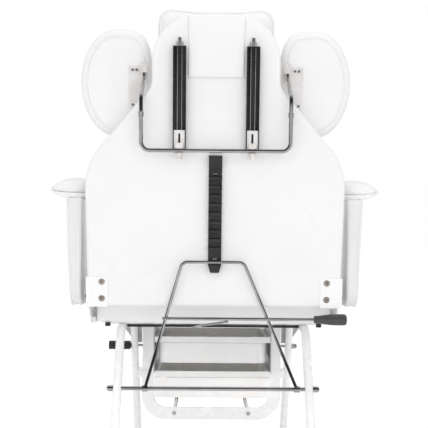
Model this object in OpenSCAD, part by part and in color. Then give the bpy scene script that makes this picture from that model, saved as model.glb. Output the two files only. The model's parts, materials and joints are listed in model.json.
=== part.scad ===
// Cosmetology bed with a reclining back, a leg section, lift-off armrests,
// a sliding arm support beside the head, two pull-out trays and a foot hoop.
// X runs across the bed, Y from the back towards the foot end, Z up from the floor.

/* [Back] */
// Width of the back at its lower end
back_w = 620; // [560:1:660]
// Width of the head part
head_w = 306; // [260:1:320]
// Length of the back above its hinge
back_l = 690; // [670:1:760]
// Lean of the back from upright
back_lean = 8; // [5:0.5:12]
// Height of the hinge above the floor
hinge_z = 552; // [545:1:560]

/* [Seat] */
// Depth of the seat
seat_d = 500; // [470:1:560]
// Height of the seat's underside
seat_under_z = 480; // [470:1:486]
// Thickness of the seat
seat_t = 120; // [100:1:130]
// Length of the leg section
leg_l = 450; // [380:1:480]

/* [Frame] */
// Diameter of the leg tubes
tube_d = 22; // [18:0.5:26]
// Wall of the leg tubes
tube_wall = 1.5; // [1:0.1:2.5]
// Distance from the middle to each side frame
frame_x = 240; // [232:1:255]
// Length of a side frame's top run
top_run = 388; // [370:1:420]
// Splay of the legs from upright
leg_splay = 27.5; // [24:0.5:30]
// Bend radius of the leg tubes
tube_bend = 60; // [45:1:75]

/* [Prop] */
// Diameter of the prop's rod
prop_d = 8; // [6:0.5:9]
// Diameter of the prop's axle
axle_d = 10; // [8:0.5:12]
// Height of the prop's axle
axle_z = 325; // [320:1:335]
// Teeth on the rack
rack_teeth = 9; // [7:1:9]

/* [Trays] */
// Width of a tray over its rim
tray_w = 322; // [290:1:330]
// Depth of a tray
tray_d = 230; // [200:1:240]
// Height of a tray
tray_h = 73; // [60:1:78]
// Wall of a tray
tray_wall = 3; // [2:0.5:4]

/* [Foot hoop] */
// Room between the hoop and the leg beside it
hoop_room = 14; // [13:0.5:24]
// Width of the hoop's flat tube
hoop_band = 35; // [28:1:38]
// Thickness of the hoop's flat tube
hoop_t = 15; // [13:0.5:18]
// Drop from the pivot to the hoop's lower edge
hoop_drop = 228; // [210:1:240]

/* [Arm support] */
// Diameter of the arm bar
arm_bar_d = 10; // [8:0.5:11]
// Width of an arm pad
arm_pad_w = 182; // [165:1:188]
// Height of an arm pad
arm_pad_h = 269; // [250:1:280]
// Thickness of an arm pad
arm_pad_t = 50; // [40:1:60]

/* [Armrests] */
// Thickness of an armrest panel
panel_t = 42; // [36:1:46]
// Length of an armrest panel
panel_l = 380; // [330:1:420]
// Height of an armrest's top above the floor
rest_top_z = 856; // [840:1:875]
// Width of an armrest pad
rest_pad_w = 103; // [90:1:112]

/* [Hidden] */
$fn = 48;
overrun = 1;
// Gap between pieces that pass each other, and of a shaft in its hole
gap = 0.3;
running = 0.06;
// Sheet steel of plates, ears and rails
plate = 3;

// Widths that go with the back's
seat_w = back_w;
shoulder_w = back_w + 10;
arm_bar_w = head_w + 48;

// Places along the bed, from the back hinge
seat_rear_y = 59;
seat_front_y = seat_rear_y + seat_d;
seat_top_z = seat_under_z + seat_t;
leg_gap = 11;
leg_rear_y = seat_front_y + leg_gap;
leg_front_y = leg_rear_y + leg_l;

// Side frame path
pad_t = 3;
foot_h = 14;
foot_r = 16;
foot_cup = 30;
rear_top_y = 71;
top_z = seat_under_z - pad_t - tube_d / 2;
leg_run = (top_z - foot_h) * tan(leg_splay);
front_top_y = rear_top_y + top_run;
rear_foot_y = rear_top_y - leg_run;
front_foot_y = front_top_y + leg_run;
function rear_leg_y(z) = rear_top_y - (top_z - z) * tan(leg_splay);
function front_leg_y(z) = front_top_y + (top_z - z) * tan(leg_splay);
axle_y = rear_leg_y(axle_z);
frame_in = frame_x - tube_d / 2;
frame_out = frame_x + tube_d / 2;

// Foot hoop's pivot
hoop_pivot_z = 364;
hoop_y = front_leg_y(hoop_pivot_z);
hoop_bolt_d = 8;

// The origin is on the floor under the middle of the bed's length
middle_y = (leg_front_y + rear_foot_y - foot_r) / 2;

module placed() { translate([0, -middle_y, 0]) children(); }
module both_sides() {
    children();
    mirror([1, 0, 0]) children();
}
module along_x(d, x0, x1) { translate([x0, 0, 0]) rotate([0, 90, 0]) cylinder(d = d, h = x1 - x0); }
module along_y(d, y0, y1) { translate([0, y1, 0]) rotate([90, 0, 0]) cylinder(d = d, h = y1 - y0); }
module block(from, to) { translate(from) cube(to - from); }
// A flat piece with its outline in Y and Z
module side_plate(points, x0, x1) {
    translate([x0, 0, 0]) rotate([90, 0, 90]) linear_extrude(x1 - x0) polygon(points);
}

// A round rod or tube through a list of points, with each corner bent to a radius.
// Each station along it is a place and a direction, and rings of points stand on them.
function unit(v) = v / norm(v);
bend_steps = 6;
function bend_stations(a, b, c, r) = let (
        before = unit(b - a), after = unit(c - b), turn = acos(before * after),
        side = unit(after - before * (before * after)),
        centre = b - before * r * tan(turn / 2) + side * r)
    [for (k = [0 : bend_steps]) let (w = turn * k / bend_steps)
        [centre + r * (before * sin(w) - side * cos(w)), before * cos(w) + side * sin(w)]];
function stations(points, r) = let (last = len(points) - 1) concat(
    [[points[0], unit(points[1] - points[0])]],
    [for (i = [1 : last - 1]) each bend_stations(points[i - 1], points[i], points[i + 1], r)],
    [[points[last], unit(points[last] - points[last - 1])]]);
function carried(x, from, to) = let (v = cross(from, to)) x + cross(v, x) + cross(v, cross(v, x)) / (1 + from * to);
function square_to(t) = unit(cross(t, abs(t.x) < 0.9 ? [1, 0, 0] : [0, 0, 1]));
function ring_points(route, r, sides) = let (n = len(route))
    [for (i = 0, x = square_to(route[0][1]); i < n;
            x = i + 1 < n ? carried(x, route[i][1], route[i + 1][1]) : x, i = i + 1)
        let (y = cross(route[i][1], x)) for (k = [0 : sides - 1])
            route[i][0] + r * (x * cos(360 * k / sides) + y * sin(360 * k / sides))];
function wall_faces(rings, sides, first, turned) =
    [for (i = [0 : rings - 2]) for (k = [0 : sides - 1]) let (
            a = first + i * sides + k, b = first + i * sides + (k + 1) % sides, c = a + sides, d = b + sides)
        each turned ? [[a, b, c], [b, d, c]] : [[a, c, b], [b, c, d]]];
function ring_wall(outer, inner, sides, turned) = [for (k = [0 : sides - 1]) let (j = (k + 1) % sides)
    each turned ? [[outer + k, outer + j, inner + k], [outer + j, inner + j, inner + k]]
        : [[outer + k, inner + k, outer + j], [outer + j, inner + k, inner + j]]];
module bent_rod(points, r, d, sides = 14) {
    route = stations(points, r);
    n = len(route);
    faces = concat([[for (k = [0 : sides - 1]) k]], wall_faces(n, sides, 0, false),
        [[for (k = [sides - 1 : -1 : 0]) (n - 1) * sides + k]]);
    polyhedron(ring_points(route, d / 2, sides), faces, convexity = 8);
}
module bent_tube(points, r, d, wall, sides = 16) {
    route = stations(points, r);
    n = len(route);
    all = n * sides;
    faces = concat(wall_faces(n, sides, 0, false), wall_faces(n, sides, all, true),
        ring_wall(0, all, sides, false), ring_wall(all - sides, 2 * all - sides, sides, true));
    polyhedron(concat(ring_points(route, d / 2, sides), ring_points(route, d / 2 - wall, sides)), faces,
        convexity = 8);
}
module rod_between(a, b, d) {
    along = unit(b - a);
    translate(a) rotate([0, acos(along.z), atan2(along.y, along.x)]) cylinder(d = d, h = norm(b - a));
}

// A stuffed form: an outline swept through rings, drawn in at the seams and crowned on its face
function arc(centre, r, from, to, steps) =
    [for (i = [0 : steps]) let (a = from + (to - from) * i / steps) centre + r * [cos(a), sin(a)]];
function round_box(w, h, r, steps) = concat(
    arc([w / 2 - r, h / 2 - r], r, 0, 90, steps), arc([r - w / 2, h / 2 - r], r, 90, 180, steps),
    arc([r - w / 2, r - h / 2], r, 180, 270, steps), arc([w / 2 - r, r - h / 2], r, 270, 360, steps));
crown_shares = [0.97, 0.88, 0.72, 0.5, 0.25];
seam_share = 0.07;
bulge_shares = [0.3, 0.65];
module stuffed(outline, middle, t, crown, draw) {
    n = len(outline);
    reach = max([for (p = outline) norm(p - middle)]);
    tight = 1 - draw / reach;
    edge = t - crown;
    rings = concat(
        [[0, tight], [edge * seam_share, (1 + tight) / 2], [edge * bulge_shares[0], 1],
            [edge * bulge_shares[1], 1], [edge, tight]],
        [for (s = crown_shares) [t - crown * s * s, s * tight]]);
    top = len(rings) - 1;
    points = concat(
        [for (ring = rings) for (p = outline) let (q = middle + (p - middle) * ring[1]) [q.x, q.y, ring[0]]],
        [[middle.x, middle.y, t]]);
    faces = concat(
        [[for (i = [0 : n - 1]) i]],
        [for (k = [0 : top - 1]) for (i = [0 : n - 1]) let (j = (i + 1) % n)
            each [[k * n + i, (k + 1) * n + i, k * n + j], [k * n + j, (k + 1) * n + i, (k + 1) * n + j]]],
        [for (i = [0 : n - 1]) [top * n + i, len(points) - 1, top * n + (i + 1) % n]]);
    polyhedron(points, faces, convexity = 4);
}
// Stands a stuffed form up, its crown towards the front and its outline's Y upwards
module facing_front() { rotate([90, 0, 180]) children(); }

// Side frames: one bent tube each, from the rear foot over the top to the front foot
module side_frame() {
    color("white") difference() {
        bent_tube([[0, rear_foot_y, foot_h], [0, rear_top_y, top_z], [0, front_top_y, top_z],
            [0, front_foot_y, foot_h]], tube_bend, tube_d, tube_wall);
        translate([0, axle_y, axle_z]) along_x(axle_d + 2 * running, -tube_d, tube_d);
        translate([0, hoop_y, hoop_pivot_z]) along_x(hoop_bolt_d + 2 * running, -tube_d, tube_d);
    }
}
module side_frame_left() { translate([-frame_x, 0, 0]) side_frame(); }
module side_frame_right() { translate([frame_x, 0, 0]) side_frame(); }
module frame_pads() {
    color("dimgray") both_sides()
        for (y = [rear_top_y + tube_bend, front_top_y - tube_bend - tube_d])
            block([frame_in, y, seat_under_z - pad_t], [frame_out, y + tube_d, seat_under_z]);
}
module rubber_foot(y, z_way) {
    difference() {
        translate([frame_x, y, 0]) cylinder(r = foot_r, h = foot_cup);
        rod_between([frame_x, y, foot_h], [frame_x, y + z_way * leg_run, top_z], tube_d);
    }
}
module rubber_feet() {
    color("dimgray") both_sides() {
        rubber_foot(rear_foot_y, 1);
        rubber_foot(front_foot_y, -1);
    }
}
// Flat bars across the bed between the side frames, under the seat board
bar_w = 40;
bar_t = 5;
bar_rows = [rear_top_y + tube_bend, front_top_y - tube_bend - bar_w];
module cross_bars() {
    color("black") for (y = bar_rows) difference() {
        block([-frame_x, y, top_z - bar_t / 2], [frame_x, y + bar_w, top_z + bar_t / 2]);
        both_sides() translate([frame_x, 0, top_z]) along_y(tube_d, y - overrun, y + bar_w + overrun);
    }
}

// Seat
board_t = 18;
board_share = 0.985;
seat_round = 16;
seat_crown = 14;
seat_draw = 5;
module covered_board(y0, y1, z, w, r) {
    translate([0, (y0 + y1) / 2, z]) linear_extrude(board_t)
        polygon(board_share * round_box(w, y1 - y0, r, 6));
}
module seat_board() { color("white") covered_board(seat_rear_y, seat_front_y, seat_under_z, seat_w, seat_round); }
module seat_cushion() {
    color("white") translate([0, (seat_rear_y + seat_front_y) / 2, seat_under_z + board_t])
        stuffed(round_box(seat_w, seat_d, seat_round, 7), [0, 0], seat_t - board_t, seat_crown, seat_draw);
}
stud_d = 14;
stud_h = 8;
stud_x = seat_w / 2 - 36;
module seat_studs() {
    color("black") both_sides() translate([stud_x, seat_rear_y + stud_d, seat_under_z - stud_h])
        cylinder(d = stud_d, h = stud_h);
}

// Prop axle through the rear legs
nut_d = 15;
nut_l = 16;
nut_bore = 8;
module prop_axle() {
    color("silver") translate([0, axle_y, axle_z])
        along_x(axle_d, -frame_out - nut_bore, frame_out + nut_bore);
}
module cap_nut(d, l, bore_d, bore_l) {
    difference() {
        union() {
            cylinder(d = d, h = l - d / 2);
            intersection() {
                translate([0, 0, l - d / 2]) sphere(d = d);
                cylinder(d = d, h = l);
            }
        }
        translate([0, 0, -overrun]) cylinder(d = bore_d, h = bore_l + overrun);
    }
}
module axle_nuts() {
    color("silver") both_sides() translate([frame_out, axle_y, axle_z]) rotate([0, 90, 0])
        cap_nut(nut_d, nut_l, axle_d, nut_bore);
}

// Hinges: an inner leaf on the moving section and an outer ear on the seat, on a shouldered bolt
hinge_bolt_d = 10;
leaf_x = back_w / 2 + gap;
ear_x = leaf_x + plate + gap;
hinge_head_d = 16;
hinge_head_l = 6;
ear_r = 14;
leg_pivot_y = seat_front_y + leg_gap / 2;
leg_pivot_z = seat_under_z + plate + gap;
module hinge_bolt() {
    along_x(hinge_bolt_d, leaf_x, ear_x + plate);
    along_x(hinge_head_d, ear_x + plate, ear_x + plate + hinge_head_l);
}
module back_hinge_bolts() { color("silver") both_sides() translate([0, 0, hinge_z]) hinge_bolt(); }
module leg_hinge_bolts() { color("silver") both_sides() translate([0, leg_pivot_y, leg_pivot_z]) hinge_bolt(); }
ear_foot_l = 90;
module back_hinge_ears() {
    color("white") both_sides() difference() {
        union() {
            translate([0, 0, hinge_z]) along_x(2 * ear_r, ear_x, ear_x + plate);
            side_plate([[-ear_r, hinge_z], [seat_rear_y + seat_round - ear_r, seat_under_z],
                [seat_rear_y + seat_round + ear_foot_l, seat_under_z],
                [seat_rear_y + seat_round + ear_foot_l, seat_under_z + board_t], [ear_r, hinge_z]],
                ear_x, ear_x + plate);
            block([seat_w / 2 * board_share, seat_rear_y + seat_round, seat_under_z],
                [ear_x, seat_rear_y + seat_round + ear_foot_l, seat_under_z + board_t - plate]);
        }
        translate([0, 0, hinge_z]) along_x(hinge_bolt_d + 2 * running, ear_x - overrun, ear_x + plate + overrun);
    }
}
module leg_hinge_ears() {
    color("white") both_sides() difference() {
        union() {
            translate([0, leg_pivot_y, leg_pivot_z]) along_x(2 * ear_r, ear_x, ear_x + plate);
            side_plate([[leg_pivot_y, leg_pivot_z - ear_r], [leg_pivot_y, leg_pivot_z + ear_r],
                [seat_front_y - seat_round - ear_foot_l, seat_under_z + board_t],
                [seat_front_y - seat_round - ear_foot_l, seat_under_z]], ear_x, ear_x + plate);
            block([seat_w / 2 * board_share, seat_front_y - seat_round - ear_foot_l, seat_under_z],
                [ear_x, seat_front_y - seat_round, seat_under_z + board_t - plate]);
        }
        translate([0, leg_pivot_y, leg_pivot_z])
            along_x(hinge_bolt_d + 2 * running, ear_x - overrun, ear_x + plate + overrun);
    }
}

// Trays hang by their rims on two pairs of ledges under the seat
tray_near_y = 230;
rim_w = 10;
lip_h = 16;
tray_lip_proud = 1;
tray_face_r = 6;
tray_tops = [426, 330];
tray_round = 24;
rail_x = tray_w / 2 + gap;
module tray_rail() {
    color("gainsboro") difference() {
        union() {
            block([rail_x, tray_near_y + plate, tray_tops[1] - 2 * plate],
                [rail_x + plate, tray_near_y + tray_d, seat_under_z]);
            for (z = tray_tops)
                block([rail_x - rim_w + 2 * gap, tray_near_y + plate + tray_wall, z - 2 * plate],
                    [rail_x + plate, tray_near_y + tray_d, z - plate]);
        }
        block([0, bar_rows[1] - gap, top_z - bar_t / 2 - gap],
            [frame_x, bar_rows[1] + bar_w + gap, top_z + bar_t / 2 + gap]);
    }
}
module tray_rail_right() { tray_rail(); }
module tray_rail_left() { mirror([1, 0, 0]) tray_rail(); }
module tray(top, face_h) {
    body_w = tray_w - 2 * rim_w;
    mid_y = tray_near_y + tray_d / 2;
    color("white") translate([0, mid_y, top]) {
        difference() {
            translate([0, 0, -tray_h]) linear_extrude(tray_h - plate)
                polygon(round_box(body_w - 2 * gap, tray_d - 2 * tray_wall, tray_round, 6));
            translate([0, 0, tray_wall - tray_h]) linear_extrude(tray_h)
                polygon(round_box(body_w - 2 * gap - 2 * tray_wall, tray_d - 4 * tray_wall,
                    tray_round - tray_wall, 6));
        }
        difference() {
            translate([0, 0, -plate]) linear_extrude(plate) square([tray_w, tray_d], center = true);
            translate([0, 0, -plate - overrun]) linear_extrude(plate + 2 * overrun)
                polygon(round_box(body_w - 2 * gap - 2 * tray_wall, tray_d - 4 * tray_wall,
                    tray_round - tray_wall, 6));
        }
        block([-tray_w / 2, -tray_d / 2, -lip_h], [tray_w / 2, tray_wall - tray_d / 2, -plate]);
        translate([0, tray_wall - tray_d / 2, 0]) rotate([90, 0, 0]) linear_extrude(tray_wall - tray_lip_proud)
            translate([0, -face_h / 2]) polygon(round_box(tray_w, face_h, tray_face_r, 4));
    }
}
module upper_tray() { tray(tray_tops[0], lip_h); }
module lower_tray() { tray(tray_tops[1], tray_h); }

// Foot hoop on its two bolts, with the brackets beside it and the stops behind it
hoop_outer_r = 75;
hoop_up = 92;
hoop_w = 2 * (frame_in - hoop_room);
hoop_x = hoop_w / 2 - hoop_band / 2;
module hoop_outline(w, drop, r) {
    translate([0, r - drop]) {
        for (side = [-1, 1]) translate([side * (w / 2 - r), 0]) circle(r = r);
        translate([-(w / 2 - r), -r]) square([w - 2 * r, 2 * r]);
        translate([-w / 2, 0]) square([w, drop - r]);
    }
}
module foot_hoop() {
    color("white") translate([0, hoop_y + hoop_t / 2, hoop_pivot_z]) difference() {
        rotate([90, 0, 0]) linear_extrude(hoop_t) union() {
            difference() {
                hoop_outline(hoop_w, hoop_drop, hoop_outer_r);
                translate([0, overrun]) hoop_outline(hoop_w - 2 * hoop_band, hoop_drop - hoop_band + overrun,
                    hoop_outer_r - hoop_band);
            }
            for (side = [-1, 1]) translate([side * hoop_x, 0]) {
                translate([-hoop_band / 2, 0]) square([hoop_band, hoop_up]);
                circle(d = hoop_band);
            }
        }
        translate([0, -hoop_t / 2, 0]) along_x(hoop_bolt_d + 2 * running, -hoop_w, hoop_w);
        for (side = [-1, 1]) translate([side * foot_rod_x, 0, foot_rod_z - hoop_pivot_z])
            along_y(rod_screw_d, -hoop_t - overrun, overrun);
    }
}
hoop_bolt_in = 12;
module hoop_bolts() {
    color("silver") translate([0, hoop_y, hoop_pivot_z]) {
        both_sides() along_x(hoop_bolt_d, hoop_x - hoop_bolt_in, frame_out + nut_bore);
        translate([frame_out, 0, 0]) rotate([0, 90, 0]) cap_nut(nut_d, nut_l, hoop_bolt_d, nut_bore);
    }
}
bracket_w = 60;
bracket_in = hoop_w / 2 + plate;
module hoop_brackets() {
    bracket_y = front_leg_y(hoop_pivot_z + nut_d / 2) + tube_d / 2 / cos(leg_splay);
    color("gainsboro") both_sides() translate([0, bracket_y + plate, 0]) rotate([90, 0, 0])
        linear_extrude(plate) polygon([
            [bracket_in, hoop_pivot_z + nut_d / 2], [frame_x, hoop_pivot_z + nut_d / 2],
            [bracket_in + bracket_w, hoop_pivot_z + bracket_w],
            [bracket_in + bracket_w, seat_under_z], [bracket_in, seat_under_z]]);
}
stop_z = 277;
stop_h = 22;
module hoop_stops() {
    leg_y = front_leg_y(stop_z);
    color("white") both_sides() {
        block([hoop_w / 2 + plate, hoop_y - hoop_t / 2 - plate - gap, stop_z - stop_h / 2],
            [frame_in, leg_y, stop_z + stop_h / 2]);
        block([hoop_w / 2 - hoop_band / 2, hoop_y - hoop_t / 2 - plate - gap, stop_z - stop_h / 2],
            [hoop_w / 2 + plate, hoop_y - hoop_t / 2 - gap, stop_z + stop_h / 2]);
    }
}
foot_rod_x = 115;
foot_rod_z = 155;
foot_rod_d = 12;
foot_rod_l = 350;
rod_screw_d = 6;
foot_plate_w = 290;
foot_plate_l = 88;
foot_plate_t = 12;
rod_end_y = hoop_y + hoop_t / 2 + foot_rod_l;
module foot_rods() {
    color("silver") for (side = [-1, 1]) translate([side * foot_rod_x, 0, foot_rod_z]) difference() {
        along_y(foot_rod_d, hoop_y + hoop_t / 2, rod_end_y);
        along_y(rod_screw_d, hoop_y, hoop_y + 2 * hoop_t);
    }
}
module foot_plate() {
    color("dimgray") difference() {
        translate([0, rod_end_y - foot_plate_l / 2, foot_rod_z]) linear_extrude(foot_rod_d / 2 + foot_plate_t)
            polygon(round_box(foot_plate_w, foot_plate_l, foot_plate_t, 4));
        for (side = [-1, 1]) translate([side * foot_rod_x, 0, foot_rod_z])
            along_y(foot_rod_d, 0, rod_end_y + overrun);
    }
}
module hoop_screws() {
    color("silver") for (side = [-1, 1]) translate([side * foot_rod_x, 0, foot_rod_z]) {
        along_y(rod_screw_d, hoop_y - hoop_t / 2, hoop_y + 2 * hoop_t);
        along_y(2 * rod_screw_d, hoop_y - hoop_t / 2 - plate, hoop_y - hoop_t / 2);
    }
}
knob_d = 26;
knob_l = 66;
knob_flutes = 6;
module clamp_knob() {
    color("black") translate([-frame_out, hoop_y, hoop_pivot_z]) difference() {
        union() {
            along_x(knob_d, -knob_l - plate, -plate);
            along_x(nut_d, -plate - overrun, -gap);
        }
        along_x(hoop_bolt_d + 2 * running, -nut_bore - gap, overrun);
        for (i = [1 : knob_flutes]) rotate([360 * i / knob_flutes, 0, 0])
            translate([0, knob_d * 0.6, 0]) along_x(knob_d / 3, -knob_l - plate - overrun, -2 * plate);
    }
}

// The back, in its own frame: Z along it from the hinge, Y towards its front
back_rear = 52;
back_front = 48;
back_below = 12;
panel_cover_t = 4;
back_board_t = 14;
corner_r = 14;
shoulder_r = 150;
shoulder_arc_s = 280;
shoulder_s = 330;
neck_r = 45;
neck_s = 540;
head_r = 105;
back_middle = [0, shoulder_s];
function back_half(w) = concat(
    arc([back_w / 2 - corner_r, corner_r - back_below], corner_r, 270, 360, 3),
    arc([w / 2 - shoulder_r, shoulder_arc_s], shoulder_r, 0, 45, 7),
    arc([head_w / 2 + neck_r, neck_s], neck_r, 225, 180, 3),
    arc([head_w / 2 - head_r, back_l - head_r], head_r, 0, 90, 6),
    [[0, back_l]]);
function mirrored_half(half) = [for (i = [len(half) - 2 : -1 : 0]) [-half[i].x, half[i].y]];
back_outline = concat(back_half(shoulder_w), mirrored_half(back_half(shoulder_w)));
function about(outline, middle, share) = [for (p = outline) middle + (p - middle) * share];
back_crown = 14;
back_draw = 5;
module on_back() { translate([0, 0, hinge_z]) rotate([back_lean, 0, 0]) children(); }
module back_layer(y0, y1, share) {
    translate([0, y1, 0]) rotate([90, 0, 0]) linear_extrude(y1 - y0)
        polygon(about(back_outline, back_middle, share));
}
layer_share = 0.992;
module back_cushion() {
    color("white") on_back() translate([0, panel_cover_t + back_board_t - back_rear, 0]) facing_front()
        stuffed(back_outline, back_middle, back_front + back_rear - panel_cover_t - back_board_t,
            back_crown, back_draw);
}
module back_board() {
    color("burlywood") on_back()
        back_layer(panel_cover_t - back_rear, panel_cover_t + back_board_t - back_rear, board_share);
}
module back_panel() { color("white") on_back() back_layer(-back_rear, panel_cover_t - back_rear, layer_share); }
corner_plate_w = 54;
corner_plate_h = 74;
plate_bolt_x = back_w / 2 - 35;
plate_bolt_s = [9, 50];
leaf_front = 16;
module back_hinge_plates() {
    color("white") on_back() both_sides() difference() {
        union() {
            block([leaf_x + plate - corner_plate_w, -back_rear - plate, -back_below],
                [leaf_x + plate, -back_rear, corner_plate_h - back_below]);
            block([leaf_x, -back_rear - overrun, -back_below], [leaf_x + plate, leaf_front, 2 * back_below]);
        }
        along_x(hinge_bolt_d + 2 * running, leaf_x - overrun, leaf_x + plate + overrun);
        for (s = plate_bolt_s) translate([plate_bolt_x, 0, s])
            along_y(plate_bolt_d, -back_rear - plate - overrun, -back_rear + overrun);
    }
}
plate_bolt_d = 7;
bolt_head_d = 16;
bolt_head_h = 4;
module domed_head(d, h) {
    dome_r = (d * d / 4 + h * h) / (2 * h);
    intersection() {
        translate([0, 0, h - dome_r]) sphere(r = dome_r);
        cylinder(d = d, h = h);
    }
}
module plate_bolts() {
    color("silver") on_back() both_sides() for (s = plate_bolt_s) translate([plate_bolt_x, -back_rear, s]) {
        along_y(plate_bolt_d, -plate, 0);
        translate([0, -plate, 0]) rotate([90, 0, 0]) domed_head(bolt_head_d, bolt_head_h);
    }
}

// Rack down the middle of the back, its teeth facing rearwards
rack_w = 32;
rack_from = 77;
rack_to = 360;
rack_base = 6;
rack_t = 18;
tooth_from = 127;
tooth_pitch = 21.4;
tooth_l = 11;
rack_cap_l = 30;
rack_tail_l = 20;
rack_screw_s = [316, 110];
rack_screw_d = 5;
module prop_rack() {
    color("black") on_back() difference() {
        union() {
            block([-rack_w / 2, -back_rear - rack_base, rack_from + rack_tail_l],
                [rack_w / 2, -back_rear, rack_to]);
            block([-rack_w / 2, -back_rear - rack_t, rack_to - rack_cap_l],
                [rack_w / 2, -back_rear, rack_to]);
            translate([0, -back_rear, rack_from]) rotate([90, 0, 0]) linear_extrude(rack_t) polygon([
                [-rack_w / 3, 0], [rack_w / 3, 0], [rack_w / 2, rack_tail_l], [-rack_w / 2, rack_tail_l]]);
            for (i = [0 : rack_teeth - 1]) side_plate([
                [-back_rear, tooth_from + i * tooth_pitch],
                [-back_rear - rack_t, tooth_from + i * tooth_pitch + tooth_l / 3],
                [-back_rear - rack_t, tooth_from + i * tooth_pitch + tooth_l],
                [-back_rear, tooth_from + i * tooth_pitch + tooth_l]], -rack_w / 2, rack_w / 2);
        }
        for (s = rack_screw_s) translate([0, 0, s])
            along_y(rack_screw_d, -back_rear - rack_t, -back_rear + overrun);
    }
}
module rack_screws() {
    color("silver") on_back() for (s = rack_screw_s) translate([0, -back_rear, s]) {
        along_y(rack_screw_d, -rack_base, 0);
        translate([0, -rack_base, 0]) rotate([90, 0, 0]) domed_head(2 * rack_screw_d, rack_screw_d / 2);
    }
}

// Two channels either side of the head, with the wires that the arm support slides on
rail_centre_x = 87;
rail_w = 31;
rail_depth = 18;
rail_web = 2;
rail_from = 370;
rail_to = 617;
wire_d = 3;
wire_x = 5.5;
wire_y = back_rear + 9;
module guide_rails() {
    color("black") on_back() both_sides() translate([rail_centre_x, -back_rear, 0]) difference() {
        block([-rail_w / 2, -rail_depth, rail_from], [rail_w / 2, 0, rail_to]);
        block([rail_web - rail_w / 2, -rail_depth - overrun, rail_from - overrun],
            [rail_w / 2 - rail_web, -rail_web, rail_to - rail_web]);
    }
}
module guide_wires() {
    color("silver") on_back() both_sides() translate([rail_centre_x, -wire_y, 0]) {
        for (side = [-1, 1]) translate([side * wire_x, 0, rail_from]) cylinder(d = wire_d, h = rail_to - rail_web - rail_from);
    }
}
rail_stud_d = 8;
rail_stud_l = 20;
module rail_bolts() {
    color("silver") on_back() both_sides() translate([rail_centre_x, -wire_y, rail_to]) {
        cylinder(d = rail_stud_d, h = rail_stud_l);
        cylinder(d = 2 * rail_stud_d, h = rail_stud_l / 2, $fn = 6);
    }
}

// Prop: a rod bent to a trapezium on two sleeves, with a cross handle and a bent hook
prop_s = 104;
prop_off = back_rear + rack_t + prop_d / 2 + gap;
prop_top_y = -prop_s * sin(back_lean) - prop_off * cos(back_lean);
prop_top_z = hinge_z + prop_s * cos(back_lean) - prop_off * sin(back_lean);
prop_l = norm([prop_top_y - axle_y, prop_top_z - axle_z]);
prop_lean = atan2(axle_y - prop_top_y, prop_top_z - axle_z);
prop_foot_x = [-171, 210];
prop_bend_x = [-78, 70];
prop_bend_r = 18;
sleeve_d = 16;
sleeve_l = 14;
// The prop's own frame: Z along it from the axle
module on_prop() { translate([0, axle_y, axle_z]) rotate([prop_lean, 0, 0]) children(); }
function prop_leg_x(side, s) = prop_foot_x[side] + (prop_bend_x[side] - prop_foot_x[side]) * s / prop_l;
module prop_bail() {
    color("silver") on_prop() difference() {
        union() {
            bent_rod([[prop_foot_x[0], 0, 0], [prop_bend_x[0], 0, prop_l], [prop_bend_x[1], 0, prop_l],
                [prop_foot_x[1], 0, 0]], prop_bend_r, prop_d);
            for (x = prop_foot_x) along_x(sleeve_d, x - sleeve_l / 2, x + sleeve_l / 2);
        }
        for (x = prop_foot_x) along_x(axle_d + 2 * running, x - sleeve_l, x + sleeve_l);
    }
}
handle_s = 189;
handle_y = -prop_d;
grip_from = 244;
grip_to = 324;
grip_d = [18, 28];
module prop_handle() {
    color("silver") on_prop() translate([0, handle_y, handle_s])
        along_x(prop_d, prop_leg_x(0, handle_s) - prop_d, grip_to - grip_d[0]);
}
module handle_grip() {
    color("black") on_prop() translate([0, handle_y, handle_s]) difference() {
        translate([grip_from, 0, 0]) rotate([0, 90, 0])
            cylinder(d1 = grip_d[0], d2 = grip_d[1], h = grip_to - grip_from);
        along_x(prop_d, grip_from - overrun, grip_to - grip_d[0]);
    }
}
hook_d = 6;
hook_bend = 12;
hook_x = 34;
hook_knee = [-62, 26, -20];
hook_tip = [-86, 106, -58];
module prop_hook() {
    top = [hook_x, handle_y, handle_s - prop_d / 2 - hook_d / 2];
    color("silver") on_prop() bent_rod([top, top + hook_knee, top + hook_tip], hook_bend, hook_d);
}

// Arm support: a bent bar on two sliders, with a plate and an egg-shaped pad at each end
bar_s = 372;
bar_y = -back_rear - rail_depth - arm_bar_d / 2 - plate;
bar_bend_r = 20;
bar_turn_s = 500;
bar_rise = 45;
bar_top_s = 585;
pad_rear = back_front + 2 * gap;
socket_d = 18;
socket_y = pad_rear - plate - socket_d / 2;
module arm_bar() {
    x = arm_bar_w / 2;
    points = concat(
        [[-x, socket_y, bar_top_s], [-x, socket_y, bar_turn_s + bar_rise], [-x, bar_y, bar_turn_s],
            [-x, bar_y, bar_s]],
        [[x, bar_y, bar_s], [x, bar_y, bar_turn_s], [x, socket_y, bar_turn_s + bar_rise],
            [x, socket_y, bar_top_s]]);
    color("silver") on_back() difference() {
        union() {
            bent_rod(points, bar_bend_r, arm_bar_d);
            both_sides() translate([x, bar_y, bar_collar_s]) cylinder(d = arm_bar_d + plate, h = bar_collar_l);
        }
        both_sides() translate([rail_centre_x, bar_y, bar_s - arm_bar_d]) cylinder(d = slider_stud_d, h = 2 * arm_bar_d);
    }
}
bar_collar_s = 451;
bar_collar_l = 12;
slider_stud_d = 5;
slider_l = 50;
slider_grip = 20;
slider_bridge = 8;
slider_w = rail_w - 2 * rail_web - 3 * gap;
slider_nut_l = 12;
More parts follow.
